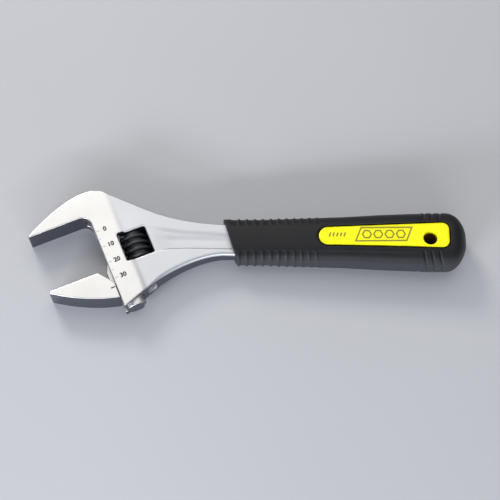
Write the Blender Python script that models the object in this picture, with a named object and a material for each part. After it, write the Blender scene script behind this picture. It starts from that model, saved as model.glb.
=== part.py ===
"""Adjustable wrench of the 250 mm class with a wide opening, in eight separate pieces.

World frame: the origin is the centre of the fixed jaw's gripping face, +X runs along the
handle to its far end, +Z is up, and the wrench's mid-plane is Z = 0.
Head frame: the head is drawn in its own coordinates, measured from the corner where the
line of the fixed jaw's face meets the line of the throat. u is the way the jaw opens,
v points out to the jaw tips, and w = u x v points down, so the frame is right-handed.
"""

import math

import bmesh
import bpy
from mathutils import Matrix, Vector

MM = 0.001

# Whole tool
OVERALL_LENGTH = 250 * MM  # fixed jaw's tip to the end of the grip
JAW_ANGLE = math.radians(22.5)  # jaw faces against the handle's centre line
JAW_OPENING = 35 * MM  # as built; the slide goes on to 40
AXIS_OFFSET = 13.6 * MM  # throat corner to the handle's centre line
GAP = 0.3 * MM  # between pieces that touch or slide
PIN_PLAY = 0.2 * MM  # radial, worm on its pin

# Head
HEAD_THICKNESS = 16.5 * MM
JAW_REACH = 36.2 * MM  # throat to the jaw tips
FACE_FOOT = 5.8 * MM  # gripping face starts this far above the throat
FOOT_U = 58.8 * MM  # foot of the head, along the throat
FACE_CENTRE = (FACE_FOOT + JAW_REACH) / 2

# Rail, web and rack of the movable jaw
RAIL_RADIUS = 5.7 * MM
RAIL_DEPTH = 6.9 * MM  # rail's centre below the throat
WEB_THICKNESS = 5.8 * MM
WEB_LEAD = 7.5 * MM  # web starts this far before the jaw's face
WEB_RISE = 2.2 * MM  # and stands this far above the throat
RAIL_LEAD = 13 * MM  # rail starts this far before the jaw's face
RACK_LEAD = 10.8 * MM  # and the middle of the first rack groove this far
RACK_PITCHES = 9
LEAD = 4 * MM  # rack pitch and worm lead
JAW_WIDTH = 18.2 * MM  # jaw along u, at the throat

# Worm, left-handed, single start
WORM_U = 26 * MM
WORM_RADIUS = 8 * MM
WORM_LENGTH = 15.6 * MM
THREAD_DEPTH = 1.7 * MM
CREST_WIDTH = 1.25 * MM
FLANK_TILT = math.radians(15)
FLANK_PLAY = 0.2 * MM
ENGAGEMENT = 1.4 * MM  # rack teeth reach this far into the thread
WORM_V = -(RAIL_DEPTH + RAIL_RADIUS - ENGAGEMENT + WORM_RADIUS)
WORM_CHAMFER = 0.9 * MM
WINDOW_LENGTH = WORM_LENGTH + 1.2 * MM
SPRING_POCKET_DEPTH = 4 * MM
SPRING_POCKET_RADIUS = 4.3 * MM

# Pin and spring
PIN_RADIUS = 2 * MM
PIN_START = 8 * MM
PIN_END = 51.4 * MM
PIN_THREAD_RADIUS = 2.8 * MM
PIN_THREAD_LENGTH = 10 * MM
PIN_SLOT_WIDTH = 1 * MM
PIN_SLOT_DEPTH = 1.4 * MM
SPRING_WIRE = 0.8 * MM
SPRING_TURNS = 3.5

# Neck and tang
STEP_V = -13.4 * MM  # the raised head plate ends on this line
STEP_THICKNESS = 15 * MM  # neck's thickness just behind it
NECK_WIDTH = 19.4 * MM  # where it goes into the grip
NECK_THICKNESS = 10 * MM
NECK_ENTRY = 12 * MM  # full section this far into the grip
TANG_WIDTH = 16 * MM
TANG_THICKNESS = 8 * MM
TANG_END_WALL = 8 * MM  # rubber behind the tang's end
TANG_CORNER = 5 * MM
PANEL_DEPTH = 0.8 * MM

# Grip
GRIP_LENGTH = 139.5 * MM
GRIP_SLANT = 4 * MM  # front edge leans this far over half its width
GRIP_SLANT_FADE = 0.3  # share of the length over which the lean dies out
GRIP_SECTIONS = (  # share of the grip's length, half width, half thickness
    (0.00, 13.4 * MM, 8.5 * MM),
    (0.16, 13.4 * MM, 9.0 * MM),
    (0.32, 14.0 * MM, 10.0 * MM),
    (0.49, 14.8 * MM, 11.0 * MM),
    (0.65, 16.0 * MM, 11.7 * MM),
    (0.78, 16.7 * MM, 12.0 * MM),
    (1.00, 16.8 * MM, 12.0 * MM),
)
GRIP_END_WIDE = 12.5 * MM  # length of the round end, seen from above
GRIP_END_THICK = 9 * MM  # and seen from the side
GRIP_FRONT_ROUND = 1.2 * MM
GRIP_SQUARENESS = 2.8  # superellipse exponent of the section
HANG_HOLE_RADIUS = 4 * MM
HANG_HOLE_SETBACK = 21.6 * MM  # hole's centre to the grip's end
HANG_HOLE_SHIFT = -1.4 * MM  # across the handle's centre line

# Inlays
INLAY_LENGTH = 74 * MM
INLAY_END_SETBACK = 10.8 * MM
INLAY_FRONT_WIDTH = 10.6 * MM
INLAY_REAR_WIDTH = 14.8 * MM
INLAY_REAR_CORNER = 4 * MM
INLAY_THICKNESS = 1.6 * MM
INLAY_DROP = 0.3 * MM  # top of the plate below the grip's crown
INLAY_SHIFT = 0.5 * MM  # across the handle's centre line
EYELET_WALL = 1 * MM

ROUND_STEPS = 32
CURVE_STEPS = 8

U = Vector((math.sin(JAW_ANGLE), -math.cos(JAW_ANGLE)))
V = Vector((-math.cos(JAW_ANGLE), -math.sin(JAW_ANGLE)))
CORNER = -FACE_CENTRE * V
TIP_X = (CORNER + JAW_REACH * V).x
GRIP_END_X = TIP_X + OVERALL_LENGTH
GRIP_FRONT_X = GRIP_END_X - GRIP_LENGTH
HANDLE_Y = CORNER.y - AXIS_OFFSET
HANG_HOLE_X = GRIP_END_X - HANG_HOLE_SETBACK
HANG_HOLE_Y = HANDLE_Y + HANG_HOLE_SHIFT
INLAY_Y = HANDLE_Y + INLAY_SHIFT
TANG_END_X = GRIP_END_X - TANG_END_WALL
EYELET_RADIUS = HANG_HOLE_RADIUS + EYELET_WALL
BEYOND = 30 * MM  # cutters reach this far past what they cut


def clear_scene():
    for thing in list(bpy.data.objects):
        bpy.data.objects.remove(thing, do_unlink=True)


def head_point(u, v):
    """A point given in the head frame, in the world's X and Y."""
    return CORNER + u * U + v * V


def bezier(start, leave, arrive, end, steps=CURVE_STEPS):
    """Points along a cubic curve, without its last one."""
    points = []
    for step in range(steps):
        t = step / steps
        s = 1 - t
        points.append(s**3 * start + 3 * s * s * t * leave + 3 * s * t * t * arrive + t**3 * end)
    return points


def arc(centre, radius, first, last, steps=CURVE_STEPS):
    """Points on a circle from one angle to another in degrees, both ends included."""
    angles = [math.radians(first + (last - first) * n / steps) for n in range(steps + 1)]
    return [centre + radius * Vector((math.cos(a), math.sin(a))) for a in angles]


def material(name, colour, roughness, metallic=0.0):
    made = bpy.data.materials.new(name)
    made.use_nodes = True
    shader = made.node_tree.nodes["Principled BSDF"]
    shader.inputs["Base Color"].default_value = (*colour, 1)
    shader.inputs["Roughness"].default_value = roughness
    shader.inputs["Metallic"].default_value = metallic
    return made


def mesh_object(name, points, faces, parent=None):
    mesh = bpy.data.meshes.new(name)
    mesh.from_pydata([tuple(p) for p in points], [], faces)
    work = bmesh.new()
    work.from_mesh(mesh)
    bmesh.ops.recalc_face_normals(work, faces=work.faces)
    work.to_mesh(mesh)
    work.free()
    made = bpy.data.objects.new(name, mesh)
    bpy.context.scene.collection.objects.link(made)
    made.parent = parent
    return made


def prism(name, outline, bottom, top, parent=None):
    """An outline carried from a bottom plane to a top one, each a height or a function of x."""
    low = bottom if callable(bottom) else lambda x: bottom
    high = top if callable(top) else lambda x: top
    count = len(outline)
    points = [(x, y, low(x)) for x, y in outline] + [(x, y, high(x)) for x, y in outline]
    sides = [(n, (n + 1) % count, count + (n + 1) % count, count + n) for n in range(count)]
    caps = [tuple(range(count))[::-1], tuple(range(count, 2 * count))]
    return mesh_object(name, points, sides + caps, parent)


def turned(name, profile, steps=ROUND_STEPS, parent=None):
    """A solid of revolution about local X, its profile (along, radius) from end to end."""
    inner = profile[1:-1]
    points = [(profile[0][0], 0, 0), (profile[-1][0], 0, 0)]
    for along, radius in inner:
        for n in range(steps):
            angle = 2 * math.pi * n / steps
            points.append((along, radius * math.cos(angle), radius * math.sin(angle)))
    faces = []
    for n in range(steps):
        following = (n + 1) % steps
        faces.append((0, 2 + following, 2 + n))
        last = 2 + (len(inner) - 1) * steps
        faces.append((1, last + n, last + following))
        for ring in range(len(inner) - 1):
            near = 2 + ring * steps
            far = near + steps
            faces.append((near + n, near + following, far + following, far + n))
    return mesh_object(name, points, faces, parent)


def rod(name, start, end, radius, parent=None):
    return turned(name, [(start, 0), (start, radius), (end, radius), (end, 0)], parent=parent)


def place(piece, location, turn=(0, 0, 0)):
    piece.location = location
    piece.rotation_euler = turn
    return piece


def combine(target, other, operation):
    """A Boolean of two objects; the second becomes a hidden tool of the first."""
    step = target.modifiers.new(other.name, "BOOLEAN")
    step.operation = operation
    step.solver = "EXACT"
    step.object = other
    other.hide_render = True
    other.display_type = "WIRE"


def cut(target, other):
    combine(target, other, "DIFFERENCE")


def add(target, other):
    combine(target, other, "UNION")


def finish(piece, look, crease=30):
    piece.data.materials.append(look)
    piece.data.shade_smooth()
    piece.data.set_sharp_from_angle(angle=math.radians(crease))


def head_frame():
    """An empty whose local axes are u, v and w, at the throat corner."""
    frame = bpy.data.objects.new("head_frame", None)
    bpy.context.scene.collection.objects.link(frame)
    axes = Matrix(((U.x, V.x, 0), (U.y, V.y, 0), (0, 0, -1)))
    frame.matrix_world = Matrix.Translation((*CORNER, 0)) @ axes.to_4x4()
    return frame


def uv(u, v):
    """Head coordinates given in millimetres."""
    return head_point(u * MM, v * MM)


def back_of_head():
    """From the neck, over the heel and along the fixed jaw's back to its tip."""
    heel = uv(-8.2, -15.2)
    side = uv(-14.3, -2)
    nose = uv(-1.2, JAW_REACH / MM - 0.3)
    return (
        bezier(heel, uv(-12, -12.9), uv(-14.3, -8.5), side)
        + bezier(side, uv(-14.3, 10), uv(-7.4, 24.5), nose, 12)
        + [nose, uv(-0.4, JAW_REACH / MM), uv(0, JAW_REACH / MM - 0.4)]
    )


def throat():
    """The fixed jaw's face, the round corner and the throat out to the foot."""
    corner = arc(Vector((FACE_FOOT, FACE_FOOT)), FACE_FOOT, 180, 270)
    foot = [(FOOT_U, 0), (FOOT_U + 0.3 * MM, -0.8 * MM)]
    return [head_point(u, v) for u, v in [*corner, *foot]]


def neck_edges():
    """The neck's lower and upper edges, the lower from head to grip, the upper back again."""
    low = Vector((GRIP_FRONT_X, HANDLE_Y - NECK_WIDTH / 2))
    high = Vector((GRIP_FRONT_X, HANDLE_Y + NECK_WIDTH / 2))
    entry = Vector((NECK_ENTRY, 0))
    belly = uv(54.3, -14)
    heel = uv(-8.2, -15.2)
    lower = bezier(belly, belly + Vector((9.9, 9.8)) * MM, low + Vector((-14.4, -0.9)) * MM, low, 12)
    upper = bezier(high, high + Vector((-37, 1.9)) * MM, heel + Vector((24, -8)) * MM, heel, 12)
    return [*lower, low, low + entry], [high + entry, *upper]


def tang_outline():
    """The tang from its lower root round its end to its upper root."""
    half = TANG_WIDTH / 2
    root = GRIP_FRONT_X + NECK_ENTRY
    end = TANG_END_X - TANG_CORNER
    inner = half - TANG_CORNER
    return (
        [Vector((root, HANDLE_Y - half))]
        + arc(Vector((end, HANDLE_Y - inner)), TANG_CORNER, -90, 0)
        + arc(Vector((end, HANDLE_Y + inner)), TANG_CORNER, 0, 90)
        + [Vector((root, HANDLE_Y + half))]
    )


def neck_height(x):
    """Half the neck's thickness, falling evenly from the step to the grip."""
    step_x = head_point(FOOT_U / 2, STEP_V).x
    fall = (STEP_THICKNESS - NECK_THICKNESS) / 2 / (GRIP_FRONT_X - step_x)
    return STEP_THICKNESS / 2 - fall * (x - step_x)


def mirrored_cut(target, name, outline, height):
    """The same cut from above and from below: all that is further out than height(x)."""
    cut(target, prism(name + "_top", outline, height, lambda x: BEYOND))
    cut(target, prism(name + "_bottom", outline, lambda x: -BEYOND, lambda x: -height(x)))


def thin_the_neck(body):
    """The neck lies below the head plate, and the tang is thinner again."""
    neck_end = GRIP_FRONT_X + 1.5 * NECK_ENTRY
    behind = [
        head_point(-BEYOND, STEP_V),
        head_point(FOOT_U + BEYOND, STEP_V),
        Vector((neck_end, HANDLE_Y - 3 * NECK_WIDTH)),
        Vector((neck_end, HANDLE_Y + 3 * NECK_WIDTH)),
    ]
    mirrored_cut(body, "neck_plane", behind, neck_height)
    tang = box_outline(GRIP_FRONT_X + NECK_ENTRY - GAP, GRIP_END_X + BEYOND, 2 * NECK_WIDTH)
    mirrored_cut(body, "tang_plane", tang, lambda x: TANG_THICKNESS / 2)


def sink_the_panels(body):
    """A shallow panel in each side of the neck, between the window and the grip."""
    front = GRIP_FRONT_X
    panel = [
        uv(17.5, -32),
        uv(35, -32),
        Vector((front - 28 * MM, HANDLE_Y - 5.4 * MM)),
        Vector((front - 3 * MM, HANDLE_Y - 5.6 * MM)),
        Vector((front - 3 * MM, HANDLE_Y + 4.6 * MM)),
        Vector((front - 28 * MM, HANDLE_Y + 6.2 * MM)),
    ]
    mirrored_cut(body, "panel", panel, lambda x: neck_height(x) - PANEL_DEPTH)


def slot_outline():
    """Room for the web at every opening, with its nose in the root of the fixed jaw."""
    nose = -WEB_LEAD - GAP - 0.2 * MM
    return [
        (nose, -RAIL_DEPTH),
        (FOOT_U + BEYOND, -RAIL_DEPTH),
        (FOOT_U + BEYOND, WEB_RISE + GAP),
        (0, WEB_RISE + GAP),
        (nose, GAP),
    ]


def window_outline():
    near = WORM_V + WORM_RADIUS + PIN_PLAY
    far = WORM_V - WORM_RADIUS - PIN_PLAY
    left = WORM_U - WINDOW_LENGTH / 2
    right = WORM_U + WINDOW_LENGTH / 2
    return [(left, far), (right, far), (right, near), (left, near)]


def make_body(frame):
    lower, upper = neck_edges()
    outline = throat() + lower + tang_outline() + upper + back_of_head()
    half = HEAD_THICKNESS / 2
    body = prism("body", outline, -half, half)
    thin_the_neck(body)
    sink_the_panels(body)
    channel = rod("channel", -BEYOND, FOOT_U + BEYOND, RAIL_RADIUS + GAP, frame)
    cut(body, place(channel, (0, -RAIL_DEPTH, 0)))
    slot_half = WEB_THICKNESS / 2 + GAP
    cut(body, prism("slot", slot_outline(), -slot_half, slot_half, frame))
    cut(body, prism("window", window_outline(), -BEYOND, BEYOND, frame))
    thread_start = PIN_END - PIN_THREAD_LENGTH - GAP
    bore = [
        (PIN_START - GAP, 0),
        (PIN_START - GAP, PIN_RADIUS + PIN_PLAY),
        (thread_start, PIN_RADIUS + PIN_PLAY),
        (thread_start, PIN_THREAD_RADIUS + GAP),
        (PIN_END + BEYOND, PIN_THREAD_RADIUS + GAP),
        (PIN_END + BEYOND, 0),
    ]
    cut(body, place(turned("pin_bore", bore, parent=frame), (0, WORM_V, 0)))
    hole = rod("tang_hole", -BEYOND, BEYOND, EYELET_RADIUS + GAP)
    cut(body, place(hole, (HANG_HOLE_X, HANG_HOLE_Y, 0), (0, math.pi / 2, 0)))
    finish(body, material("satin_steel", (0.80, 0.80, 0.79), 0.32, 1.0))
    return body


def jaw_outline():
    """The movable jaw from above; u is measured from its own face, v from the throat."""
    tip = JAW_REACH + 0.5 * MM
    side = Vector((JAW_WIDTH, GAP))
    nose = Vector((1.2 * MM, tip - 0.4 * MM))
    face = [Vector((0, tip - 0.5 * MM)), Vector((0, FACE_FOOT + 1.1 * MM))]
    corner = [Vector((3.4 * MM, 4.2 * MM)), Vector((7.5 * MM, 1.3 * MM)), Vector((9 * MM, GAP))]
    leave = side + Vector((-2.3, 10.7)) * MM
    arrive = nose + Vector((9.1, -12.3)) * MM
    return [*face, *corner, *bezier(side, leave, arrive, nose, 14), nose]


def rack_groove(name, centre, parent):
    """One groove between rack teeth, leaning with the worm's thread."""
    crest_v = WORM_V + WORM_RADIUS
    lean = LEAD / (2 * math.pi * (WORM_RADIUS - THREAD_DEPTH / 2))
    root = crest_v + GAP
    mouth = crest_v - 2 * THREAD_DEPTH
    half_crest = CREST_WIDTH / 2 + FLANK_PLAY
    points = []
    for w in (-RAIL_RADIUS - GAP, RAIL_RADIUS + GAP):
        middle = centre - lean * w
        for v in (root, mouth):
            half = half_crest + max(crest_v - v, 0) * math.tan(FLANK_TILT)
            points += [(middle - half, v, w), (middle + half, v, w)]
    faces = [(0, 1, 3, 2), (4, 6, 7, 5), (0, 4, 5, 1), (2, 3, 7, 6), (0, 2, 6, 4), (1, 5, 7, 3)]
    return mesh_object(name, points, faces, parent)


def make_jaw(frame):
    half = HEAD_THICKNESS / 2
    jaw = prism("movable_jaw", jaw_outline(), -half, half, frame)
    place(jaw, (JAW_OPENING, 0, 0))
    web_half = WEB_THICKNESS / 2
    web = [
        (-WEB_LEAD, -RAIL_DEPTH),
        (JAW_WIDTH, -RAIL_DEPTH),
        (JAW_WIDTH - 0.6 * MM, WEB_RISE),
        (0.4 * MM, WEB_RISE),
        (-WEB_LEAD + 1.5 * MM, -GAP),
        (-WEB_LEAD, -2 * GAP),
    ]
    add(jaw, prism("web", web, -web_half, web_half, jaw))
    end = -RAIL_LEAD + (RACK_PITCHES + 0.5) * LEAD
    add(jaw, place(rod("rail", -RAIL_LEAD, end, RAIL_RADIUS, jaw), (0, -RAIL_DEPTH, 0)))
    for n in range(RACK_PITCHES + 1):
        cut(jaw, rack_groove(f"rack_groove_{n}", -RACK_LEAD + n * LEAD, jaw))
    finish(jaw, material("polished_steel", (0.83, 0.82, 0.80), 0.28, 1.0))
    return jaw


def thread_profile():
    """One pitch of the worm's thread as (along, radius), from root start to root end."""
    root = WORM_RADIUS - THREAD_DEPTH
    crest = CREST_WIDTH / 2
    foot = crest + THREAD_DEPTH * math.tan(FLANK_TILT)
    return [(-foot, root), (-crest, WORM_RADIUS), (crest, WORM_RADIUS), (foot, root)]


def worm_blank(parent):
    """An endless left-hand thread, longer than the worm; its ends are cut off afterwards."""
    profile = thread_profile()
    turns = 2 * int(WORM_LENGTH / LEAD / 2) + 4  # even, so that a crest lies at the middle
    start = -turns / 2 * LEAD
    points = []
    for n in range(ROUND_STEPS):
        angle = 2 * math.pi * n / ROUND_STEPS
        slide = start - LEAD * n / ROUND_STEPS
        for turn in range(turns + 1):
            for along, radius in profile:
                x = along + slide + turn * LEAD
                points.append((x, radius * math.cos(angle), radius * math.sin(angle)))
    row = len(profile) * (turns + 1)
    size = len(profile)
    faces = []
    for n in range(ROUND_STEPS - 1):
        for m in range(row - 1):
            here = n * row + m
            beside = here + row
            faces.append((here, beside, beside + 1, here + 1))
    last = (ROUND_STEPS - 1) * row
    for m in range(row - size - 1):
        # after one full turn the thread has stepped back by one pitch
        faces.append((last + size + m, m, m + 1, last + size + m + 1))
    near_rim = [n * row for n in range(ROUND_STEPS)] + [last + m for m in range(1, size + 1)]
    far_rim = [n * row + row - 1 for n in range(ROUND_STEPS)][::-1]
    far_rim += list(range(row - 2, row - 2 - size, -1))
    near_hub = len(points)
    points.append((start - 0.5 * LEAD, 0, 0))
    points.append((start + (turns - 0.5) * LEAD, 0, 0))
    for rim, hub in ((near_rim, near_hub), (far_rim, near_hub + 1)):
        for n, point in enumerate(rim):
            faces.append((hub, point, rim[(n + 1) % len(rim)]))
    return mesh_object("worm_blank", points, faces, parent)


def make_worm(frame):
    half = WORM_LENGTH / 2
    edge = WORM_RADIUS - WORM_CHAMFER
    phase = (JAW_OPENING - RACK_LEAD - WORM_U) / LEAD
    outside = WORM_RADIUS + GAP
    profile = [
        (-half, 0),
        (-half, edge),
        (-half + WORM_CHAMFER, outside),
        (half - WORM_CHAMFER, outside),
        (half, edge),
        (half, 0),
    ]
    worm = turned("adjusting_worm", profile, parent=frame)
    place(worm, (WORM_U, WORM_V, 0), (2 * math.pi * phase, 0, 0))
    combine(worm, worm_blank(worm), "INTERSECT")
    cut(worm, rod("worm_bore", -half - BEYOND, half + BEYOND, PIN_RADIUS + PIN_PLAY, worm))
    pocket_end = -half + SPRING_POCKET_DEPTH
    cut(worm, rod("spring_pocket", -half - BEYOND, pocket_end, SPRING_POCKET_RADIUS, worm))
    finish(worm, material("black_worm", (0.02, 0.02, 0.022), 0.38, 0.6))
    return worm


def make_pin(frame):
    step = PIN_END - PIN_THREAD_LENGTH
    bevel = 0.4 * MM
    profile = [
        (PIN_START, 0),
        (PIN_START, PIN_RADIUS - bevel),
        (PIN_START + bevel, PIN_RADIUS),
        (step, PIN_RADIUS),
        (step, PIN_THREAD_RADIUS),
        (PIN_END - bevel, PIN_THREAD_RADIUS),
        (PIN_END, PIN_THREAD_RADIUS - bevel),
        (PIN_END, 0),
    ]
    pin = place(turned("worm_pin", profile, parent=frame), (0, WORM_V, 0))
    half = PIN_SLOT_WIDTH / 2
    bottom = PIN_END - PIN_SLOT_DEPTH
    slot = [(bottom, -half), (PIN_END + BEYOND, -half), (PIN_END + BEYOND, half), (bottom, half)]
    cut(pin, prism("pin_slot", slot, -BEYOND, BEYOND, pin))
    finish(pin, material("pin_steel", (0.45, 0.45, 0.46), 0.35, 1.0))
    return pin


def make_spring(frame):
    """A coil round the pin, between the window's wall and the floor of the worm's pocket."""
    radius = (PIN_RADIUS + SPRING_POCKET_RADIUS) / 2
    wall = WORM_U - WINDOW_LENGTH / 2
    floor = WORM_U - WORM_LENGTH / 2 + SPRING_POCKET_DEPTH
    start = wall + GAP + SPRING_WIRE / 2
    length = floor - GAP - SPRING_WIRE / 2 - start
    curve = bpy.data.curves.new("worm_spring", "CURVE")
    curve.dimensions = "3D"
    curve.bevel_depth = SPRING_WIRE / 2
    curve.bevel_resolution = 1
    curve.use_fill_caps = True
    steps = int(SPRING_TURNS * 14)
    path = curve.splines.new("POLY")
    path.points.add(steps)
    for n in range(steps + 1):
        angle = 2 * math.pi * SPRING_TURNS * n / steps
        along = start + length * n / steps
        path.points[n].co = (along, radius * math.cos(angle), radius * math.sin(angle), 1)
    spring = bpy.data.objects.new("worm_spring", curve)
    bpy.context.scene.collection.objects.link(spring)
    spring.parent = frame
    curve.materials.append(material("spring_steel", (0.5, 0.5, 0.5), 0.3, 1.0))
    return place(spring, (0, WORM_V, 0))


def grip_size(share):
    """Half width and half thickness of the grip's section at a share of its length."""
    for near, far in zip(GRIP_SECTIONS, GRIP_SECTIONS[1:]):
        if share <= far[0]:
            break
    t = min((share - near[0]) / (far[0] - near[0]), 1)
    smooth = t * t * (3 - 2 * t) * 0.5 + t * 0.5
    return [a + (b - a) * smooth for a, b in zip(near[1:], far[1:])]


def closing(left, depth):
    """The share of its full size that a section keeps, this far from a round end."""
    return math.sqrt(1 - max(1 - left / depth, 0) ** 2)


def grip_section(x, steps=ROUND_STEPS):
    """One ring of the grip: a superellipse, leaning with the slanted front edge."""
    share = (x - GRIP_FRONT_X) / GRIP_LENGTH
    width, height = grip_size(share)
    edge = GRIP_FRONT_ROUND * (1 - closing(x - GRIP_FRONT_X, GRIP_FRONT_ROUND))
    width = (width - edge) * closing(GRIP_END_X - x, GRIP_END_WIDE)
    height = (height - edge) * closing(GRIP_END_X - x, GRIP_END_THICK)
    lean = GRIP_SLANT * max(1 - share / GRIP_SLANT_FADE, 0)
    ring = []
    for n in range(steps):
        angle = 2 * math.pi * n / steps
        y = math.copysign(abs(math.cos(angle)) ** (2 / GRIP_SQUARENESS), math.cos(angle))
        z = math.copysign(abs(math.sin(angle)) ** (2 / GRIP_SQUARENESS), math.sin(angle))
        ring.append((x + lean * (1 - y), HANDLE_Y + width * y, height * z))
    return ring


def grip_stations():
    """Where the grip's rings lie: close together at both ends."""
    front = [GRIP_FRONT_X + GRIP_FRONT_ROUND * share for share in (0, 0.3, 1)]
    body = [GRIP_FRONT_X + GRIP_LENGTH * n / 12 for n in range(1, 11)]
    end = [GRIP_END_X - GRIP_END_WIDE * (1 - math.sin(math.radians(11 * n))) for n in range(9)]
    return front + body + [*end, GRIP_END_X]


def inlay_ends():
    rear = GRIP_END_X - INLAY_END_SETBACK
    return rear - INLAY_LENGTH, rear


def inlay_outline(room=0.0):
    """The plate from above, its front end round and its rear corners rounded."""
    front, rear = inlay_ends()
    radius = INLAY_FRONT_WIDTH / 2 + room
    half = INLAY_REAR_WIDTH / 2 - INLAY_REAR_CORNER
    corner = INLAY_REAR_CORNER + room
    corner_x = rear - INLAY_REAR_CORNER
    return (
        arc(Vector((front + INLAY_FRONT_WIDTH / 2, INLAY_Y)), radius, 90, 270, 12)
        + arc(Vector((corner_x, INLAY_Y - half)), corner, -90, 0)
        + arc(Vector((corner_x, INLAY_Y + half)), corner, 0, 90)
    )


def inlay_top(x):
    """The plate's face, which follows the grip as it gets thicker to the rear."""
    front, rear = inlay_ends()
    heights = [grip_size((end - GRIP_FRONT_X) / GRIP_LENGTH)[1] for end in (front, rear)]
    return heights[0] + (heights[1] - heights[0]) * (x - front) / (rear - front) - INLAY_DROP


def inlay_floor(x):
    return inlay_top(x) - INLAY_THICKNESS


def box_outline(x_low, x_high, width):
    half = width / 2
    return [
        (x_low, HANDLE_Y - half),
        (x_high, HANDLE_Y - half),
        (x_high, HANDLE_Y + half),
        (x_low, HANDLE_Y + half),
    ]


def make_sleeve():
    rings = [grip_section(x) for x in grip_stations()]
    count = ROUND_STEPS
    points = [point for ring in rings for point in ring]
    faces = [tuple(range(count))[::-1], tuple(range(len(points) - count, len(points)))]
    for ring in range(len(rings) - 1):
        for n in range(count):
            near, beside = ring * count + n, ring * count + (n + 1) % count
            faces.append((near, beside, beside + count, near + count))
    sleeve = mesh_object("grip_sleeve", points, faces)
    mouth_end = GRIP_FRONT_X + NECK_ENTRY + GAP
    mouth_half = NECK_THICKNESS / 2 + GAP
    mouth = box_outline(GRIP_FRONT_X - BEYOND, mouth_end, NECK_WIDTH + 2 * GAP)
    cut(sleeve, prism("sleeve_mouth", mouth, -mouth_half, mouth_half))
    pocket_half = TANG_THICKNESS / 2 + GAP
    pocket = box_outline(GRIP_FRONT_X, TANG_END_X + GAP, TANG_WIDTH + 2 * GAP)
    cut(sleeve, prism("sleeve_pocket", pocket, -pocket_half, pocket_half))
    hole = rod("sleeve_hole", -BEYOND, BEYOND, EYELET_RADIUS + GAP)
    cut(sleeve, place(hole, (HANG_HOLE_X, HANG_HOLE_Y, 0), (0, math.pi / 2, 0)))
    mirrored_cut(sleeve, "inlay_recess", inlay_outline(GAP), lambda x: inlay_floor(x) - GAP)
    finish(sleeve, material("black_rubber", (0.035, 0.035, 0.037), 0.6))
    return sleeve


def make_inlays():
    """The front plate carries the eyelet; the back plate lies round the eyelet's far end."""
    yellow = material("yellow_plastic", (0.85, 0.75, 0.03), 0.3)
    middle = inlay_top(HANG_HOLE_X) - INLAY_THICKNESS / 2
    front = prism("front_inlay", inlay_outline(), inlay_floor, inlay_top)
    tube = rod("eyelet", -middle, middle, EYELET_RADIUS)
    add(front, place(tube, (HANG_HOLE_X, HANG_HOLE_Y, 0), (0, math.pi / 2, 0)))
    hole = rod("hang_hole", -BEYOND, BEYOND, HANG_HOLE_RADIUS)
    cut(front, place(hole, (HANG_HOLE_X, HANG_HOLE_Y, 0), (0, math.pi / 2, 0)))
    back = prism("back_inlay", inlay_outline(), lambda x: -inlay_top(x), lambda x: -inlay_floor(x))
    seat = rod("eyelet_seat", -BEYOND, BEYOND, EYELET_RADIUS + GAP)
    cut(back, place(seat, (HANG_HOLE_X, HANG_HOLE_Y, 0), (0, math.pi / 2, 0)))
    finish(front, yellow)
    finish(back, material("yellow_plastic_back", (0.85, 0.75, 0.03), 0.3))


def main():
    clear_scene()
    frame = head_frame()
    make_body(frame)
    make_jaw(frame)
    make_worm(frame)
    make_pin(frame)
    make_spring(frame)
    make_sleeve()
    make_inlays()


main()
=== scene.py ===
"""The adjustable wrench as seen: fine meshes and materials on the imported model's frame.

Lengths are in millimetres until a mesh is made; the model itself is in metres.
Shapes are signed distances on a grid, negative inside, so that every edge can be rounded.
"""

import math

import bmesh
import bpy
import numpy as np
import openvdb
from mathutils import Matrix, Vector


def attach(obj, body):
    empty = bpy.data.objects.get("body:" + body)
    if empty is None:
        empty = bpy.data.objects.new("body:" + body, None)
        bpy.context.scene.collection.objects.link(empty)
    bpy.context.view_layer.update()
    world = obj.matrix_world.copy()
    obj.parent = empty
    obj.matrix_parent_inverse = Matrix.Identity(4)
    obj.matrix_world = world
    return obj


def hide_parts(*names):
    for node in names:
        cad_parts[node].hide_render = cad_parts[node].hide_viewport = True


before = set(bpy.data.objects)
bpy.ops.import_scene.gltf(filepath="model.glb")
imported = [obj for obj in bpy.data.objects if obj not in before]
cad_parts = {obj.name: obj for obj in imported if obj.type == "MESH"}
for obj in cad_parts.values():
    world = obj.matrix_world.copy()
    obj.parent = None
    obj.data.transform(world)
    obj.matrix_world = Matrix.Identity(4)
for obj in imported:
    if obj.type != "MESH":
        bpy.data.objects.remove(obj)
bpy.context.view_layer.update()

MM = 0.001

# Head frame: u the way the jaw opens, v out to the jaw tips, w = u x v down
ANGLE = math.radians(22.5)
U = np.array([math.sin(ANGLE), -math.cos(ANGLE)])
V = np.array([-math.cos(ANGLE), -math.sin(ANGLE)])
FACE_CENTRE = 21.0
CORNER = -FACE_CENTRE * V
OPENING = 35.0
HEAD_HALF = 8.25
REACH = 36.2
JAW_WIDTH = 18.2
FOOT_U = 58.8
STEP_V = -13.4
STEP_HALF = 7.5
NECK_HALF = 5.0
RAIL_V = -6.9
RAIL_RADIUS = 5.7
WEB_HALF = 2.9
WEB_START = -7.5
LEAD = 4.0
CREST_HALF = 0.625
THREAD_DEPTH = 1.7
FLANK_SLOPE = math.tan(math.radians(15))
RACK_PLAY = 0.2
RAIL_START = -13.0
RAIL_END = RAIL_START + 9.5 * LEAD
RACK_START = -10.8
WORM_U = 26.0
WORM_V = -19.2
WORM_RADIUS = 8.0
WORM_LENGTH = 15.6
WINDOW_LENGTH = 16.8
THIN_BORE = 2.2
WIDE_BORE = 3.1
SCALE_ZERO = 11.4
GAP = 0.3

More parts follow.
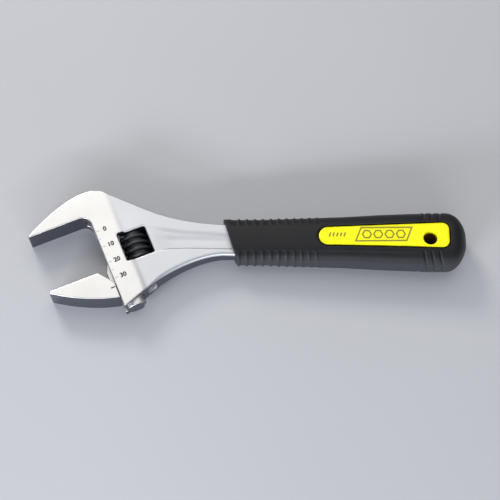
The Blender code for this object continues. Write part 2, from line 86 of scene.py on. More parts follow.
# Handle
TIP_X = (CORNER + REACH * V)[0]
END_X = TIP_X + 250
GRIP_LENGTH = 139.5
FRONT_X = END_X - GRIP_LENGTH
HANDLE_Y = CORNER[1] - 13.6
HOLE_X = END_X - 21.6
HOLE_Y = HANDLE_Y - 1.4
INLAY_Y = HANDLE_Y + 0.5
INLAY_REAR = END_X - 10.8
INLAY_FRONT = INLAY_REAR - 74
INLAY_NOSE = 5.3
INLAY_HALF = 7.4
INLAY_CORNER = 4.0
EYELET_RADIUS = 5.0
EYELET_BORE = 4.0
GRIP_SHARES = [0, 0.16, 0.32, 0.49, 0.65, 0.78, 1]
GRIP_WIDTHS = [13.4, 13.4, 14.0, 14.8, 16.0, 16.7, 16.8]
GRIP_HEIGHTS = [8.5, 9.0, 10.0, 11.0, 11.7, 12.0, 12.0]


# ---------------------------------------------------------------- distances


def head_point(u, v):
    return CORNER + u * U + v * V


def to_head(x, y):
    """World x, y as head coordinates u, v."""
    dx = x - CORNER[0]
    dy = y - CORNER[1]
    return dx * U[0] + dy * U[1], dx * V[0] + dy * V[1]


def bezier(start, leave, arrive, end, steps):
    t = np.linspace(0, 1, steps, endpoint=False)[:, None]
    s = 1 - t
    start, leave, arrive, end = (np.asarray(p, float) for p in (start, leave, arrive, end))
    return list(s**3 * start + 3 * s * s * t * leave + 3 * s * t * t * arrive + t**3 * end)


def arc(centre, radius, first, last, steps):
    angles = np.radians(np.linspace(first, last, steps + 1))
    return [np.array(centre) + radius * np.array([math.cos(a), math.sin(a)]) for a in angles]


def polygon_distance(x, y, outline):
    """Signed distance to a closed outline, negative inside."""
    near = np.full(x.shape, np.inf)
    inside = np.zeros(x.shape, bool)
    count = len(outline)
    for n in range(count):
        ax, ay = outline[n]
        bx, by = outline[(n + 1) % count]
        ex = bx - ax
        ey = by - ay
        length = ex * ex + ey * ey
        if length < 1e-12:
            continue
        wx = x - ax
        wy = y - ay
        t = np.clip((wx * ex + wy * ey) / length, 0, 1)
        near = np.minimum(near, (wx - t * ex) ** 2 + (wy - t * ey) ** 2)
        if ey:
            inside ^= ((ay > y) != (by > y)) & (wx < ex * wy / ey)
    near = np.sqrt(near)
    return np.where(inside, -near, near)


def both(a, b, r=0.0):
    """What is in a and in b, with the edge between them rounded."""
    if np.ndim(r) == 0 and r == 0:
        return np.maximum(a, b)
    return np.minimum(-r, np.maximum(a, b)) + np.hypot(np.maximum(a + r, 0), np.maximum(b + r, 0))


def either(a, b, r):
    return -both(-a, -b, r)


def without(a, b, r):
    return both(a, -b, r)


def smooth(t):
    t = np.clip(t, 0, 1)
    return t * t * (3 - 2 * t)


def grid(low, high, step):
    axes = [np.arange(a - 2 * step, b + 3 * step, step) for a, b in zip(low, high)]
    return np.meshgrid(*axes, indexing="ij", sparse=True)


def sample(field, places):
    """The field's values between its grid points; places are counted in steps."""
    base = np.clip(np.floor(places).astype(int), 0, np.array(field.shape) - 2)
    part = np.clip(places - base, 0, 1)
    total = np.zeros(len(places))
    for corner in np.ndindex(2, 2, 2):
        weight = np.prod(np.where(np.array(corner) == 1, part, 1 - part), axis=1)
        x, y, z = (base + corner).T
        total += weight * field[x, y, z]
    return total


def outward(field, places):
    """The way the surface faces at each place, read from the distances around it."""
    slopes = [sample(field, places + e) - sample(field, places - e) for e in np.eye(3) * 0.8]
    slopes = np.stack(slopes, axis=1)
    return slopes / np.maximum(np.linalg.norm(slopes, axis=1, keepdims=True), 1e-9)


def linked(name, data):
    """A new object in the scene."""
    made = bpy.data.objects.new(name, data)
    bpy.context.scene.collection.objects.link(made)
    return made


def surface(name, distance, low, step, adaptivity=0.0, turn=None):
    """The mesh where the distance is zero, in metres. turn takes grid axes to the world."""
    field = np.ascontiguousarray(np.clip(distance, -3 * step, 3 * step), np.float32)
    volume = openvdb.FloatGrid(step)
    volume.copyFromArray(field)
    points, triangles, quads = volume.convertToPolygons(isovalue=0.0, adaptivity=adaptivity)
    start = np.array(low) - 2 * step
    axes, origin = turn or (np.eye(3), np.zeros(3))
    points = (points * step + start) @ axes.T + origin
    mesh = bpy.data.meshes.new(name)
    mesh.from_pydata((points * MM).tolist(), [], [*triangles.tolist(), *quads.tolist()])
    work = bmesh.new()
    work.from_mesh(mesh)
    bmesh.ops.remove_doubles(work, verts=work.verts, dist=1e-8)
    bmesh.ops.recalc_face_normals(work, faces=work.faces)
    if work.calc_volume(signed=True) < 0:
        bmesh.ops.reverse_faces(work, faces=work.faces)
    work.to_mesh(mesh)
    work.free()
    mesh.shade_smooth()
    places = np.empty(len(mesh.vertices) * 3)
    mesh.vertices.foreach_get("co", places)
    places = ((places.reshape(-1, 3) / MM - origin) @ axes - start) / step
    mesh.normals_split_custom_set_from_vertices((outward(field, places) @ axes.T).tolist())
    return linked(name, mesh)


HEAD_TURN = (
    np.array([[U[0], V[0], 0], [U[1], V[1], 0], [0, 0, -1]]),
    np.array([CORNER[0], CORNER[1], 0]),
)


# ---------------------------------------------------------------- materials


class Nodes:
    """A short way to write a material's node tree."""

    def __init__(self, name):
        self.made = bpy.data.materials.new(name)
        self.made.use_nodes = True
        self.tree = self.made.node_tree
        self.shader = self.tree.nodes["Principled BSDF"]
        place = self.tree.nodes.new("ShaderNodeTexCoord")
        self.coordinates = place.outputs["Object"]
        self.facing = place.outputs["Normal"]

    def node(self, kind, values=None, **settings):
        node = self.tree.nodes.new("ShaderNode" + kind)
        for key, value in settings.items():
            setattr(node, key, value)
        for key, value in (values or {}).items():
            self.set(node, key, value)
        return node

    def set(self, node, key, value):
        socket = node.inputs[key]
        if isinstance(value, bpy.types.NodeSocket):
            self.tree.links.new(value, socket)
        else:
            socket.default_value = value

    def look(self, **values):
        for key, value in values.items():
            self.set(self.shader, key.replace("_", " "), value)

    def stretched(self, scale, turn):
        node = self.node("Mapping", {"Vector": self.coordinates})
        node.inputs["Rotation"].default_value = (0, 0, turn)
        node.inputs["Scale"].default_value = scale
        return node.outputs["Vector"]

    def noise(self, scale, detail, rough=0.5, vector=None):
        vector = vector or self.coordinates
        values = {"Vector": vector, "Scale": scale, "Detail": detail, "Roughness": rough}
        return self.node("TexNoise", values).outputs["Fac"]

    def ramp(self, value, low, high, colour_low, colour_high):
        node = self.node("ValToRGB", {"Fac": value})
        ends = node.color_ramp.elements
        ends[0].position = low
        ends[0].color = (*colour_low, 1)
        ends[1].position = high
        ends[1].color = (*colour_high, 1)
        return node.outputs["Color"]

    def between(self, value, low, high, start=0.0, stop=1.0):
        """The value's range from start to stop, taken to low and high and held there."""
        ends = {"From Min": start, "From Max": stop, "To Min": low, "To Max": high}
        return self.node("MapRange", {"Value": value, **ends}).outputs["Result"]

    def mixed(self, share, start, stop):
        node = self.node("Mix", data_type="RGBA")
        for index, value in ((0, share), (6, start), (7, stop)):
            self.set(node, index, value)
        return node.outputs[2]

    def mixed_value(self, share, start, stop):
        node = self.node("Mix", data_type="FLOAT")
        for index, value in ((0, share), (2, start), (3, stop)):
            self.set(node, index, value)
        return node.outputs[0]

    def height_of(self, vector):
        """How far a vector goes up or down, whichever it is."""
        up = self.node("SeparateXYZ", {0: vector}).outputs["Z"]
        return self.node("Math", {0: up}, operation="ABSOLUTE").outputs[0]

    def shaded(self, colour, share):
        return self.node("VectorMath", {0: colour, 3: share}, operation="SCALE").outputs["Vector"]

    def bump(self, *layers):
        """Layers are (height, strength, distance in metres), the first one coarsest."""
        normal = None
        for height, strength, distance in layers:
            values = {"Height": height, "Strength": strength, "Distance": distance}
            if normal:
                values["Normal"] = normal
            normal = self.node("Bump", values).outputs["Normal"]
        self.look(Normal=normal)


def steel(name, plate, side, neck=None):
    """Satin chrome. Each finish is (colour, roughness): the ground plate, the forged
    sides by where the surface faces, and the neck beyond the plate's step. The sides'
    dark bluish colour is a painted reflection of the shaded floor; their roughness is their own
    polish."""
    m = Nodes(name)
    slow = m.noise(38, 3, 0.55)
    grain = m.noise(5200, 2, 0.6)
    brushed = m.noise(1, 4, 0.6, m.stretched((260, 7000, 260), -ANGLE))
    colour = (*plate[0], 1)
    rough = plate[1]
    if neck:
        values = {0: m.coordinates, 1: (*V, 0)}
        along = m.node("VectorMath", values, operation="DOT_PRODUCT").outputs["Value"]
        middle = float(CORNER @ V) + STEP_V
        share = m.between(along, 0.0, 1.0, (middle - 1.6) * MM, (middle + 0.8) * MM)
        colour = m.mixed(share, (*neck[0], 1), colour)
        rough = m.between(share, neck[1], plate[1])
    # painted reflection: faces turned sideways take the dark side colour, standing in for the
    # shaded floor they mirror
    top = m.between(m.height_of(m.facing), 0.0, 1.0, 0.30, 0.62)
    colour = m.mixed(top, (*side[0], 1), colour)
    rough = m.mixed_value(top, side[1], rough)
    worn = m.between(slow, 0.93, 1.0, 0.3, 0.7)
    m.look(Base_Color=m.shaded(colour, worn), Metallic=0.8)
    uneven = m.between(slow, -0.03, 0.03, 0.3, 0.7)
    m.look(Roughness=m.node("Math", {0: rough, 1: uneven}, operation="ADD").outputs[0])
    m.bump((slow, 0.05, 0.0004), (brushed, 0.10, 0.00003), (grain, 0.12, 0.00002))
    return m.made


def blackened(name):
    """Phosphated worm steel. The crests get a lighter copy of it, a painted highlight."""
    m = Nodes(name)
    fine = m.noise(2600, 4, 0.6)
    m.look(Base_Color=m.ramp(fine, 0.3, 0.7, (0.018, 0.018, 0.02), (0.05, 0.05, 0.052)))
    m.look(Metallic=0.6, Roughness=m.between(fine, 0.3, 0.48, 0.3, 0.7))
    m.bump((fine, 0.25, 0.00004))
    return m.made


def painted_crest_highlight(name):
    # painted highlight: the same blackened steel made lighter, for the crests that catch the
    # light
    m = Nodes(name)
    fine = m.noise(900, 4, 0.6)
    m.look(Base_Color=m.ramp(fine, 0.3, 0.7, (0.035, 0.035, 0.037), (0.07, 0.07, 0.074)))
    m.look(Metallic=0.7, Roughness=m.between(fine, 0.34, 0.48, 0.3, 0.7))
    m.bump((fine, 0.15, 0.00003))
    return m.made


def rubber(name):
    m = Nodes(name)
    grain = m.node("TexVoronoi", {"Vector": m.coordinates, "Scale": 1900.0}).outputs["Distance"]
    slow = m.noise(60, 3, 0.5)
    fine = m.noise(4200, 2, 0.6)
    # painted light: faces turned sideways are coloured lighter than the tops, standing in for the
    # front light and floor reflection on the grip's sides
    top = m.between(m.height_of(m.facing), 0.0, 1.0, 0.35, 0.85)
    black = m.ramp(slow, 0.3, 0.7, (0.006, 0.006, 0.0065), (0.009, 0.009, 0.0095))
    m.look(Base_Color=m.mixed(top, (0.042, 0.043, 0.048, 1), black))
    m.look(Roughness=m.between(slow, 0.5, 0.6, 0.3, 0.7), Specular_IOR_Level=0.28)
    m.bump((grain, 0.18, 0.00006), (fine, 0.12, 0.00003))
    return m.made


def yellow(name):
    m = Nodes(name)
    slow = m.noise(70, 2, 0.5)
    fine = m.noise(1500, 2, 0.5)
    bright = m.ramp(slow, 0.3, 0.7, (0.98, 0.90, 0.002), (1.0, 0.95, 0.004))
    # painted shade: the yellow turns dark brown down in the eyelet's bore, where shade falls
    top = m.between(m.height_of(m.coordinates), 0.0, 1.0, 0.0075, 0.0095)
    m.look(Base_Color=m.mixed(top, (0.16, 0.09, 0.01, 1), bright))
    m.look(Roughness=m.between(fine, 0.3, 0.38, 0.3, 0.7), Specular_IOR_Level=0.25)
    m.bump((fine, 0.05, 0.00003))
    return m.made


def ink(name, colour, rough=0.5):
    m = Nodes(name)
    fine = m.noise(2500, 3, 0.6)
    darker = tuple(0.7 * c for c in colour)
    m.look(Base_Color=m.ramp(fine, 0.3, 0.7, darker, colour))
    m.look(Roughness=m.between(fine, rough, rough + 0.1))
    return m.made


def paint(piece, looks, choose):
    """Puts several materials on a piece; choose gives each face's from its centre."""
    for look in looks:
        piece.data.materials.append(look)
    centres = np.empty(len(piece.data.polygons) * 3)
    piece.data.polygons.foreach_get("center", centres)
    chosen = choose(centres.reshape(-1, 3) / MM)
    piece.data.polygons.foreach_set("material_index", np.asarray(chosen, np.int32))
    piece.data.update()


def put(piece, look, body, slot, *nodes):
    """Gives a piece its material and its body, and hides the CAD nodes it stands for. The slot is
    not used.
    """
    if look:
        piece.data.materials.append(look)
    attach(piece, body)
    if nodes:
        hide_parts(*nodes)
    return piece


# ---------------------------------------------------------------- wrench body


def body_outline():
    heel = head_point(-8.2, -15.2)
    belly = head_point(54.3, -14)
    side = head_point(-14.3, -2)
    nose = head_point(-1.2, REACH - 0.3)
    low = np.array([FRONT_X, HANDLE_Y - 9.7])
    high = np.array([FRONT_X, HANDLE_Y + 9.7])
    inside = np.array([10.0, 0])
    corner = [head_point(*p) for p in arc((5.8, 5.8), 5.8, 180, 270, 20)]
    return [
        *corner,
        head_point(FOOT_U, 0),
        head_point(FOOT_U + 0.3, -0.8),
        *bezier(belly, belly + (9.9, 9.8), low + (-14.4, -0.9), low, 40),
        low,
        low + inside,
        high + inside,
        *bezier(high, high + (-37, 1.9), heel + (24, -8), heel, 40),
        *bezier(heel, head_point(-12, -12.9), head_point(-14.3, -8.5), side, 20),
        *bezier(side, head_point(-14.3, 10), head_point(-7.4, 24.5), nose, 40),
        nose,
        head_point(-0.4, REACH),
        head_point(0, REACH - 0.4),
    ]


def panel_outline():
    """The sunk panel on each side of the neck, given from the handle's centre line."""
    edge = [
        (50.5, 9.3),
        (60, 7.3),
        (74, 5.5),
        (98, 4.7),
        (110, 4.6),
        (110, -5.8),
        (76, -5.7),
        (66.5, -6.3),
        (58.9, -8.0),
        (54.0, -9.6),
    ]
    return [(x, HANDLE_Y + side) for x, side in edge]


def make_body(look):
    step = 0.41
    low = (-15.0, -48.6, -HEAD_HALF)
    high = (FRONT_X + 10.0, 22.0, HEAD_HALF)
    x, y, z = grid(low, high, step)
    flat_x, flat_y = np.broadcast_arrays(x[:, :, 0], y[:, :, 0])
    u, v = to_head(flat_x, flat_y)
    edge = polygon_distance(flat_x, flat_y, body_outline())
    plate = smooth((v - STEP_V + 3.0) / 4.4)
    step_x = head_point(FOOT_U / 2, STEP_V)[0]
    fall = (STEP_HALF - NECK_HALF) / (FRONT_X - step_x)
    neck = STEP_HALF - fall * (flat_x - step_x)
    panel = polygon_distance(flat_x, flat_y, panel_outline())
    upper = smooth((flat_y - HANDLE_Y + 1) / 4)
    sunk = (0.9 - 0.45 * upper) * smooth((-v - 27) / 12)
    neck = neck - sunk * smooth(-panel / (0.7 + 2.6 * upper) + 0.1)
    half = neck + (HEAD_HALF - neck) * plate
    away = smooth((STEP_V - v) / 14)
    lower = smooth((HANDLE_Y + 2 - flat_y) / 8)
    # edges are sharpest round the jaws and softest along the neck's lower side
    round_edge = 0.55 + away * (0.7 + 1.2 * lower)
    height = np.abs(z)
    body = both(edge[:, :, None], height - half[:, :, None], round_edge[:, :, None])
    u, v, edge, half = (a[:, :, None] for a in (u, v, edge, half))

    window_u = np.abs(u - WORM_U) - WINDOW_LENGTH / 2
    window_v = np.abs(v - WORM_V) - WORM_RADIUS - 0.2
    window = both(window_u, window_v, 0.6)
    flare = np.clip(height - (half - 0.55), 0, 1)
    # a shallow relief beside the worm's first thread
    relief_u = np.abs(u - 19.6) - 3.0
    relief_v = np.abs(v - STEP_V - 0.1) - 2.3
    relief = both(both(relief_u, relief_v, 1.2), 1.0 - height)
    body = np.maximum(body, (flare - window) * 0.8)
    body = without(body, relief, 0.3)

    channel = np.hypot(v - RAIL_V, z) - RAIL_RADIUS - GAP
    mouth = np.clip(u - (FOOT_U - 0.3), 0, 1)
    body = without(body, channel - mouth, 0.15)
    nose = WEB_START - GAP - 0.2
    beyond = 90
    slot = [(nose, RAIL_V), (beyond, RAIL_V), (beyond, 2.5), (0, 2.5), (nose, GAP)]
    slot_flat = polygon_distance(u[:, :, 0], v[:, :, 0], slot)[:, :, None]
    slot_deep = np.maximum(slot_flat, height - WEB_HALF - GAP)
    body = without(body, slot_deep, 0.2)

    # the pin's bore, thin from the window's far side and wide and flared at the foot
    pin = np.hypot(v - WORM_V, z)
    flared = np.clip((u - 50.4) * 0.4, 0, 1.2)
    wide = np.maximum(pin - WIDE_BORE - flared, 41.1 - u)
    thin = np.maximum(pin - THIN_BORE, 7.7 - u)
    body = without(body, np.minimum(wide, thin), 0.1)
    made = surface("wrench_body", body, low, step)
    return put(made, look, "wrench_frame", "satin_steel", "body")


# ---------------------------------------------------------------- movable jaw


def jaw_outline():
    """u from the jaw's own face, v from the throat."""
    tip = REACH + 0.5
    side = np.array([JAW_WIDTH, GAP])
    nose = np.array([1.2, tip - 0.4])
    return [
        (0, tip - 0.5),
        (0, 6.9),
        (3.4, 4.2),
        (7.5, 1.3),
        (9, GAP),
        *bezier(side, side + (-2.3, 10.7), nose + (9.1, -12.3), nose, 40),
        nose,
    ]


def make_jaw(look):
    step = 0.26
    low = (RAIL_START, RAIL_V - RAIL_RADIUS, -HEAD_HALF)
    high = (RAIL_END, REACH + 0.5, HEAD_HALF)
    u, v, w = grid(low, high, step)
    flat_u, flat_v = np.broadcast_arrays(u[:, :, 0], v[:, :, 0])
    depth = np.abs(w)
    edge = polygon_distance(flat_u, flat_v, jaw_outline())[:, :, None]
    jaw = both(edge, depth - HEAD_HALF, 0.55)
    web = [
        (WEB_START, RAIL_V),
        (JAW_WIDTH, RAIL_V),
        (JAW_WIDTH - 0.6, 2.2),
        (0.4, 2.2),
        (WEB_START + 1.5, -GAP),
        (WEB_START, -2 * GAP),
    ]
    web_flat = polygon_distance(flat_u, flat_v, web)[:, :, None]
    jaw = either(jaw, both(web_flat, depth - WEB_HALF, 0.35), 0.3)
    rail = np.hypot(v - RAIL_V, w) - RAIL_RADIUS
    rail = both(rail, np.maximum(RAIL_START - u, u - RAIL_END), 0.6)
    crest = WORM_V + WORM_RADIUS
    lean = LEAD / (2 * math.pi * (WORM_RADIUS - THREAD_DEPTH / 2))
    along = (u - RACK_START + lean * w) / LEAD
    off = np.abs(along - np.round(along)) * LEAD
    half = CREST_HALF + RACK_PLAY + np.maximum(crest - v, 0) * FLANK_SLOPE
    groove = both(off - half, v - crest - GAP, 0.2)
    rail = without(rail, groove, 0.15)
    jaw = np.minimum(jaw, rail)
    turn = (HEAD_TURN[0], HEAD_TURN[1] + np.array([U[0], U[1], 0]) * OPENING)
    made = surface("sliding_jaw", jaw, low, step, 0.0, turn)
    return put(made, look, "jaw", "jaw_steel", "movable_jaw")


# ---------------------------------------------------------------- worm


def make_worm(black, crest_look):
    step = 0.2
    half = WORM_LENGTH / 2
    reach = WORM_RADIUS
    low = (-half, -reach, -reach)
    high = (half, reach, reach)
    u, v, w = grid(low, high, step)
    radius = np.hypot(v, w)
    angle = np.arctan2(w, v)
    # a crest lies on the rack's grooves: left-hand, one pitch back for each turn
    phase = (u + WORM_U - OPENING - RACK_START) / LEAD + angle / (2 * math.pi)
    off = np.abs(phase - np.round(phase)) * LEAD
    drop = np.clip((off - CREST_HALF) / FLANK_SLOPE, 0, THREAD_DEPTH)
    shape = both((radius - (WORM_RADIUS - drop)) * 0.45, radius - WORM_RADIUS, 0.05)
    worm = both(shape, np.abs(u) - half, 0.1)
    worm = np.maximum(worm, (radius + np.abs(u) - half - WORM_RADIUS + 0.9) * 0.7)
    pocket = np.maximum(radius - 4.3, u + half - 4)
    worm = without(worm, np.minimum(radius - THIN_BORE, pocket), 0.1)
    place = HEAD_TURN[1] + np.array([*(WORM_U * U + WORM_V * V), 0])
    made = surface("worm_thread", worm, low, step, 0.0, (HEAD_TURN[0], place))
    along = np.array([U[0], U[1], 0])

    def choose(centres):
        offset = centres - place
        offset -= np.outer(offset @ along, along)
        return np.linalg.norm(offset, axis=1) > WORM_RADIUS - 0.12

    # the crests take the lighter material: a painted highlight
    paint(made, (black, crest_look), choose)
    return put(made, None, "worm", "blackened_steel", "adjusting_worm")


# ---------------------------------------------------------------- grip


def grip_size(x):
    share = np.clip((x - FRONT_X) / GRIP_LENGTH, 0, 1)
    return np.interp(share, GRIP_SHARES, GRIP_WIDTHS), np.interp(share, GRIP_SHARES, GRIP_HEIGHTS)


def inlay_top(x):
    ends = [grip_size(end)[1] for end in (INLAY_FRONT, INLAY_REAR)]
    return ends[0] + (ends[1] - ends[0]) * (x - INLAY_FRONT) / (INLAY_REAR - INLAY_FRONT) - 0.3


def inlay_outline():
    rear = INLAY_REAR - INLAY_CORNER
    side = INLAY_HALF - INLAY_CORNER
    return [
        *arc((INLAY_FRONT + INLAY_NOSE, INLAY_Y), INLAY_NOSE, 90, 270, 24),
        *arc((rear, INLAY_Y - side), INLAY_CORNER, -90, 0, 12),
        *arc((rear, INLAY_Y + side), INLAY_CORNER, 0, 90, 12),
    ]


def closing(left, depth):
    """How much of its full size the grip keeps, this far from its rounded end."""
    return np.sqrt(np.clip(1 - np.clip(1 - left / depth, 0, 1) ** 2, 0.004, 1))


def ribs(x, first, count, pitch, width):
    """1 on the crest of each rib, 0 between them."""
    n = np.clip(np.round((x - first) / pitch), 0, count - 1)
    return smooth(1 - np.abs(x - first - n * pitch) / width)


def make_grip(look):
    step = 0.33
    widest = GRIP_WIDTHS[-1]
    highest = GRIP_HEIGHTS[-1]
    low = (FRONT_X, HANDLE_Y - widest, -highest)
    high = (END_X, HANDLE_Y + widest, highest)
    x, y, z = grid(low, high, step)
    side = y - HANDLE_Y
    # the front edge leans 8 mm across the width, and the lean dies out along the grip
    fade = 0.3 * GRIP_LENGTH
    shift = 4 * (1 - side / GRIP_WIDTHS[0])
    start = FRONT_X + np.minimum(x - FRONT_X - shift, x - FRONT_X) / (1 - shift / fade)
    start = np.where(x > FRONT_X + fade, x, start)
    width, height = grip_size(start)
    rim = 0.9
    left = np.clip(1 - (start - FRONT_X) / rim, 0, 1)
    front = rim * (1 - np.sqrt(np.clip(1 - left**2, 0, 1)))
    width = (width - front) * closing(END_X - x, 12.5)
    height = (height - front) * closing(END_X - x, 9.0)
    # between an ellipse, 2, and a rectangle; made a distance by its own slope
    square = 2.8
    both_ways = (np.abs(side) / width) ** square + (np.abs(z) / height) ** square
    round_part = both_ways ** (1 / square) - 1
    slopes = np.gradient(round_part, step)
    steep = np.sqrt(sum(s * s for s in slopes))
    grip = np.clip(round_part / np.maximum(steep, 0.02), -4, 4)

    # side panels: sunk a little, ribbed in front, with three grooves behind
    angle = np.abs(z) / height
    panel = smooth((0.89 - angle) / 0.08 + 0.5)
    panel_start = smooth((x - FRONT_X - 5) / 1.2 + 0.5)
    panel_end = smooth((207 - x + 7 * angle) / 1.2 + 0.5)
    inset = 0.38 * panel * panel_end * panel_start
    leaning = x + 2.0 * (z / height) * smooth((x - 130) / 25)
    lower = 1 - 0.55 * smooth((x - 126) / 28)
    proud = 0.62 * panel * lower * ribs(leaning, first=105.7, count=11, pitch=4.55, width=1.3)
    curved = x + 3.0 * angle**2
    grooves = ribs(curved, first=212.8, count=3, pitch=4.5, width=0.95)
    rear = 0.6 * grooves * smooth((0.90 - angle) / 0.10 + 0.5)
    grip = grip + inset - proud + rear

    grip = both(both(grip, FRONT_X - start), x - END_X + 0.1, 0.6)
    # the front end of the pocket that the neck goes into
    mouth = np.maximum(np.abs(side) - 10.0, np.abs(z) - NECK_HALF - GAP)
    grip = without(grip, np.maximum(mouth, x - FRONT_X - 12.3), 0.4)
    flat_x, flat_y = np.broadcast_arrays(x[:, :, 0], y[:, :, 0])
    recess = polygon_distance(flat_x, flat_y, inlay_outline())[:, :, None] - GAP - 0.6
    floor = inlay_top(x) - 3.4
    grip = without(grip, np.maximum(recess, floor - np.abs(z)), 0.2)
    hole = np.hypot(x - HOLE_X, y - HOLE_Y) - EYELET_RADIUS - GAP
    grip = without(grip, hole, 0.1)
    made = surface("grip", grip, low, step, 0.004)
    return put(made, look, "wrench_frame", "black_rubber", "grip_sleeve")


# ---------------------------------------------------------------- inlays


def make_inlays(look):
    step = 0.25
    low = (INLAY_FRONT, INLAY_Y - INLAY_HALF, -11.8)
    high = (INLAY_REAR, INLAY_Y + INLAY_HALF, 11.8)
    x, y, z = grid(low, high, step)
    flat_x, flat_y = np.broadcast_arrays(x[:, :, 0], y[:, :, 0])
    edge = polygon_distance(flat_x, flat_y, inlay_outline())[:, :, None]
    top = inlay_top(x)
    crown = top - 0.22 * smooth(1 + edge / 2.2) ** 2
    ring = np.hypot(x - HOLE_X, y - HOLE_Y)
    reach = inlay_top(HOLE_X) - 0.25
    for name, side, node in (("front_plate", 1, "front_inlay"), ("back_plate", -1, "back_inlay")):
        up = z * side
        plate = both(edge, np.maximum(up - crown, top - 1.6 - up), 0.4)
        if side > 0:
            tube = both(ring - EYELET_RADIUS, np.abs(z) - reach, 0.2)
            plate = without(np.minimum(plate, tube), ring - EYELET_BORE, 0.45)
        else:
            plate = without(plate, ring - EYELET_RADIUS - GAP, 0.2)
        made = surface(name, plate, low, step, 0.02)
        put(made, look, "wrench_frame", "yellow_plastic", node)


# ---------------------------------------------------------------- marks


def strip(name, lines, width, height, look, body, slot):
    """Thin raised lines: each is a list of points, closed when it ends where it starts."""
    work = bmesh.new()
    for line in lines:
        points = [np.array(p, float) for p in line]
        closed = np.allclose(points[0], points[-1])
        if closed:
            points = points[:-1]
        rails = []
        count = len(points)
        for n, point in enumerate(points):
            before = points[(n - 1) % count] if closed or n else None
            after = points[(n + 1) % count] if closed or n < count - 1 else None
            steps = ((before, point), (point, after))
            ahead = [b - a for a, b in steps if a is not None and b is not None]
            ahead = [d / np.linalg.norm(d) for d in ahead]
            mean = sum(ahead)
            mean /= np.linalg.norm(mean)
            across = np.array([-mean[1], mean[0]])
            miter = 1 / max(0.4, abs(mean @ ahead[0]))
            pair = [point + across * miter * width / 2 * s for s in (1, -1)]
            corners = [(*(p * MM), level * MM) for p in pair for level in height(point)]
            rails.append([work.verts.new(corner) for corner in corners])
        ends = zip(rails, rails[1:] + rails[:1]) if closed else zip(rails, rails[1:])
        for near, far in ends:
            for a, b in ((0, 1), (1, 3), (3, 2), (2, 0)):
                work.faces.new((near[a], near[b], far[b], far[a]))
        if not closed:
            work.faces.new([rails[0][i] for i in (0, 2, 3, 1)])
            work.faces.new([rails[-1][i] for i in (0, 1, 3, 2)])
    bmesh.ops.recalc_face_normals(work, faces=work.faces)
    mesh = bpy.data.meshes.new(name)
    work.to_mesh(mesh)
    work.free()
    return put(linked(name, mesh), look, body, slot)


def number(name, text, centre, size, turn, level, look, body, slot):
    """Plain numerals lying flat, made into a mesh."""
    curve = bpy.data.curves.new(name, "FONT")
    curve.body = text
    curve.size = size * MM
    curve.align_x = "CENTER"
    curve.align_y = "CENTER"
    curve.extrude = 0.02 * MM
    curve.offset = 0.14 * MM
    letters = linked(name + "_curve", curve)
    bpy.context.view_layer.update()
    scene = bpy.context.evaluated_depsgraph_get()
    mesh = bpy.data.meshes.new_from_object(letters.evaluated_get(scene))
    bpy.data.objects.remove(letters)
    mesh.name = name
    work = bmesh.new()
    work.from_mesh(mesh)
    bmesh.ops.remove_doubles(work, verts=work.verts, dist=1e-7)
    work.to_mesh(mesh)
    work.free()
    place = Vector((*centre, level)) * MM
    mesh.transform(Matrix.Translation(place) @ Matrix.Rotation(turn, 4, "Z"))
    return put(linked(name, mesh), look, body, slot)


def make_scale(look):
    """The opening scale on the head plate, and the jaw's index line."""
    ticks = []
    for n in range(7):
        u = SCALE_ZERO + 5 * n
        end = -2.8 if n % 2 == 0 else -1.9
        ticks.append([head_point(u, -0.9), head_point(u, end)])
    level = (HEAD_HALF - 0.02, HEAD_HALF)
    finish = (look, "wrench_frame", "blackened_steel")
    strip("scale_ticks", ticks, 0.22, lambda p: level, *finish)
    turn = math.atan2(-U[1], -U[0]) - math.pi / 2
    for n in range(4):
        centre = head_point(SCALE_ZERO + 10 * n, -5.9)
        number(f"scale_number_{10 * n}", str(10 * n), centre, 3.7, turn, level[0], *finish)
    index = [[head_point(OPENING + SCALE_ZERO, v) for v in (0.9, 3.4)]]
    strip("index_line", index, 0.7, lambda p: level, look, "jaw", "blackened_steel")


def make_graphic(look):
    """A plain pattern of nuts in a slanted frame, moulded into the inlay."""
    def height(point):
        top = inlay_top(point[0])
        return top - 0.2, top + 0.06

    def hexagon(cx, cy, r):
        turns = [math.pi / 3 * n for n in range(7)]
        return [(cx + r * math.cos(a), cy + r * math.sin(a)) for a in turns]

    left = INLAY_FRONT + 20.8
    right = left + 32
    middle = INLAY_Y + 0.5
    low = middle - 4.0
    high = middle + 4.0
    lines = [[(left, low), (right - 3.2, low), (right, high), (left + 3.2, high), (left, low)]]
    for n in range(4):
        lines.append(hexagon(left + 6.4 + 6.4 * n, middle, 2.5))
    for n in range(5):
        x = INLAY_FRONT + 5.8 + 2.1 * n
        lines.append([(x, middle - 1.2), (x + 0.9, middle + 1.2)])
    strip("inlay_pattern", lines, 0.85, height, look, "wrench_frame", "yellow_plastic")


# ---------------------------------------------------------------- setting


def area(name, location, target, size, power, colour):
    lamp = bpy.data.lights.new(name, "AREA")
    lamp.shape = "RECTANGLE"
    lamp.size = size[0]
    lamp.size_y = size[1]
    lamp.energy = power
    lamp.color = colour
    made = linked(name, lamp)
    made.location = location
    made.rotation_euler = (Vector(target) - Vector(location)).to_track_quat("-Z", "Y").to_euler()


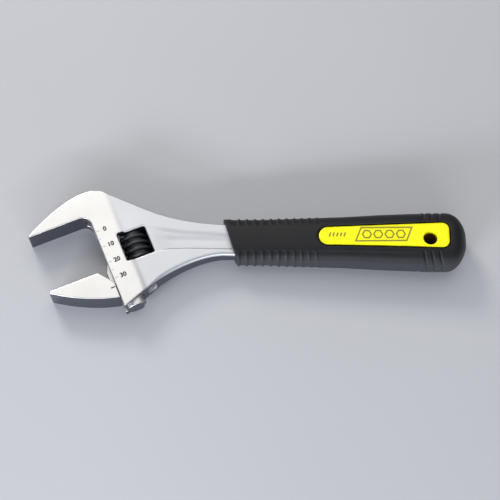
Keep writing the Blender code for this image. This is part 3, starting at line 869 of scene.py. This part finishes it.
def make_stage():
    world = bpy.data.worlds.new("world")
    bpy.context.scene.world = world
    world.use_nodes = True
    world.node_tree.nodes["Background"].inputs["Color"].default_value = (0.80, 0.86, 1.0, 1)
    world.node_tree.nodes["Background"].inputs["Strength"].default_value = 0.3

    floor_mesh = bpy.data.meshes.new("floor")
    size = 3.0
    # the wrench lies on its grip and its jaw tips, so the floor tilts by their difference
    slope = (12.05 - 8.3) / 215
    rest = -(HEAD_HALF + 0.1) * MM
    corners = [(sx * size, sy * size) for sx, sy in ((-1, -1), (1, -1), (1, 1), (-1, 1))]
    floor_mesh.from_pydata([(x, y, rest - slope * x) for x, y in corners], [], [(0, 1, 2, 3)])
    floor = linked("floor", floor_mesh)
    m = Nodes("pale_floor")
    pale = m.ramp(m.noise(3, 2), 0.3, 0.7, (0.47, 0.47, 0.48), (0.50, 0.50, 0.51))
    m.look(Base_Color=pale, Roughness=0.7)
    floor_mesh.materials.append(m.made)

    middle = (0.11, -0.01, 0)
    area("sky", (0.1, 0.65, 1.35), (0.1, 0.15, 0), (2.4, 1.7), 12, (1, 0.99, 0.97))
    area("key", (-0.45, 0.95, 0.80), middle, (0.4, 0.4), 8, (1, 0.98, 0.95))
    area("front", (-0.55, -0.9, 0.33), middle, (0.5, 0.16), 11, (0.84, 0.89, 1.0))
    area("low_front", (0.30, -1.05, 0.50), middle, (0.9, 0.10), 5, (0.90, 0.93, 1.0))


def make_camera():
    camera = bpy.data.cameras.new("camera")
    camera.lens = 100
    camera.sensor_width = 36
    camera.clip_start = 0.01
    made = linked("camera", camera)
    elevation = math.radians(69)
    distance = 0.796
    target = Vector((112.04, HANDLE_Y - 4.49, 0)) * MM
    back = Vector((0, -math.cos(elevation), math.sin(elevation)))
    made.location = target + back * distance
    made.rotation_euler = (math.pi / 2 - elevation, 0, 0)
    bpy.context.scene.camera = made


def main():
    bpy.context.scene.view_settings.view_transform = "Standard"
    plate = ((0.74, 0.725, 0.69), 0.33)
    neck = ((0.61, 0.615, 0.625), 0.40)
    # painted reflection: the sides' dark bluish colour stands in for the shaded floor they
    # mirror; 0.24 is their own polished roughness
    side = ((0.10, 0.108, 0.135), 0.24)
    bright = ((0.5, 0.5, 0.51), 0.3)
    make_body(steel("body_steel", plate, side, neck))
    make_jaw(steel("jaw_steel", plate, side))
    pin_steel = steel("pin_steel", bright, bright)
    make_worm(blackened("phosphate"), painted_crest_highlight("painted_crest_highlight"))
    make_grip(rubber("charcoal_rubber"))
    make_inlays(yellow("yellow_inlay"))
    make_scale(ink("etched", (0.07, 0.07, 0.075)))
    make_graphic(ink("moulded_pattern", (0.30, 0.27, 0.01), 0.35))
    for node in ("worm_pin", "worm_spring"):
        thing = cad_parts[node]
        thing.data.materials.clear()
        thing.data.materials.append(pin_steel)
    make_stage()
    make_camera()


main()
